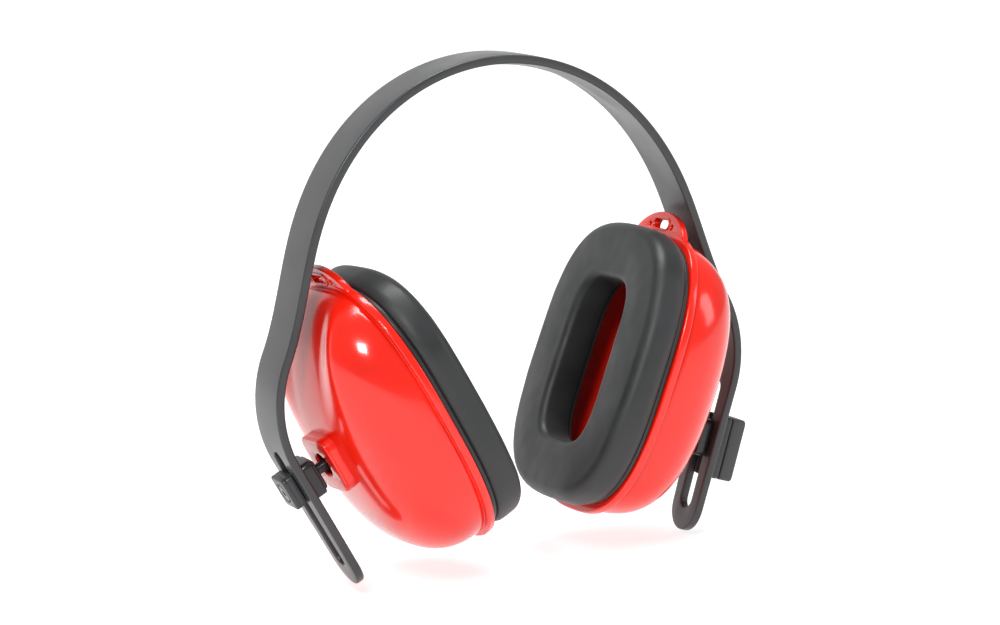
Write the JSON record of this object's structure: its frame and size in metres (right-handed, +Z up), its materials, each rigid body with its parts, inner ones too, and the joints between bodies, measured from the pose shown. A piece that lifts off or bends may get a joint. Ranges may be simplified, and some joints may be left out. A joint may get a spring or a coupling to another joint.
{
  "type": "earmuff hearing protector",
  "caption": "Over-the-head earmuff with a sprung slotted headband and oval noise-blocking ear cups on ball-jointed sliders.",
  "frame": {"origin": "middle of the underside of the headband's crown, where it rests on the head", "axes": "+Z up, +X from the left cup to the right cup as the front view shows them, +Y towards the back of the head"},
  "size_m": [0.1853, 0.0886, 0.1851],
  "materials": {
    "band_plastic": "semi-gloss charcoal moulding",
    "dark_plastic": "satin black moulding",
    "cap_plastic": "satin grey moulding",
    "grip_plastic": "satin dark grey moulding",
    "stud_nylon": "smooth nylon",
    "shell_red": "high-gloss red moulding",
    "insert_foam": "open-cell foam",
    "plate_plastic": "satin black moulding",
    "cushion_core": "soft foam",
    "cushion_vinyl": "soft grained vinyl"
  },
  "bodies": {
    "band": {"headband": "band_plastic"},
    "slider_left": {"slider_hub_left": "dark_plastic", "slider_cap_left": "cap_plastic"},
    "stud_left": {"pivot_stud_left": "stud_nylon"},
    "ring_left": {"socket_ring_left": "dark_plastic"},
    "cup_left": {"cup_shell_left": "shell_red", "socket_cap_left": "dark_plastic", "acoustic_foam_left": "insert_foam", "cushion_plate_left": "plate_plastic", "cushion_foam_left": "cushion_core", "cushion_skin_left": "cushion_vinyl"},
    "slider_right": {"slider_hub_right": "dark_plastic", "slider_cap_right": "cap_plastic", "slider_grip_right": "grip_plastic"},
    "stud_right": {"pivot_stud_right": "stud_nylon"},
    "ring_right": {"socket_ring_right": "dark_plastic"},
    "cup_right": {"cup_shell_right": "shell_red", "socket_cap_right": "dark_plastic", "acoustic_foam_right": "insert_foam", "cushion_plate_right": "plate_plastic", "cushion_foam_right": "cushion_core", "cushion_skin_right": "cushion_vinyl"}
  },
  "joints": [
    {"name": "slide_left", "type": "slide", "parent": "band", "child": "slider_left", "axis": [-0.4446, 0, 0.8957], "range_m": [-0.022, 0.001]},
    {"name": "swivel_left", "type": "hinge", "parent": "slider_left", "child": "stud_left", "pos_m": [-0.0657, 0, -0.13195], "axis": [0.8957, 0, 0.4446], "range_deg": [-10, 10]},
    {"name": "tilt_left", "type": "hinge", "parent": "stud_left", "child": "ring_left", "pos_m": [-0.0657, 0, -0.13195], "axis": [0, -1, 0], "range_deg": [-14, 2]},
    {"name": "turn_left", "type": "hinge", "parent": "ring_left", "child": "cup_left", "pos_m": [-0.0657, 0, -0.13195], "axis": [-0.4227, 0.0313, 0.9057], "range_deg": [-10, 10]},
    {"name": "slide_right", "type": "slide", "parent": "band", "child": "slider_right", "axis": [0.342, 0, 0.9397], "range_m": [-0.018, 0.0005]},
    {"name": "swivel_right", "type": "hinge", "parent": "slider_right", "child": "stud_right", "pos_m": [0.06466, 0, -0.14264], "axis": [-0.9397, 0, 0.342], "range_deg": [-3.5, 3.5]},
    {"name": "tilt_right", "type": "hinge", "parent": "stud_right", "child": "ring_right", "pos_m": [0.06466, 0, -0.14264], "axis": [0, 1, 0], "range_deg": [-13.5, 0.5]},
    {"name": "turn_right", "type": "hinge", "parent": "ring_right", "child": "cup_right", "pos_m": [0.06466, 0, -0.14264], "axis": [0.4163, 0.0262, 0.9088], "range_deg": [-8, 2.5]}
  ]
}
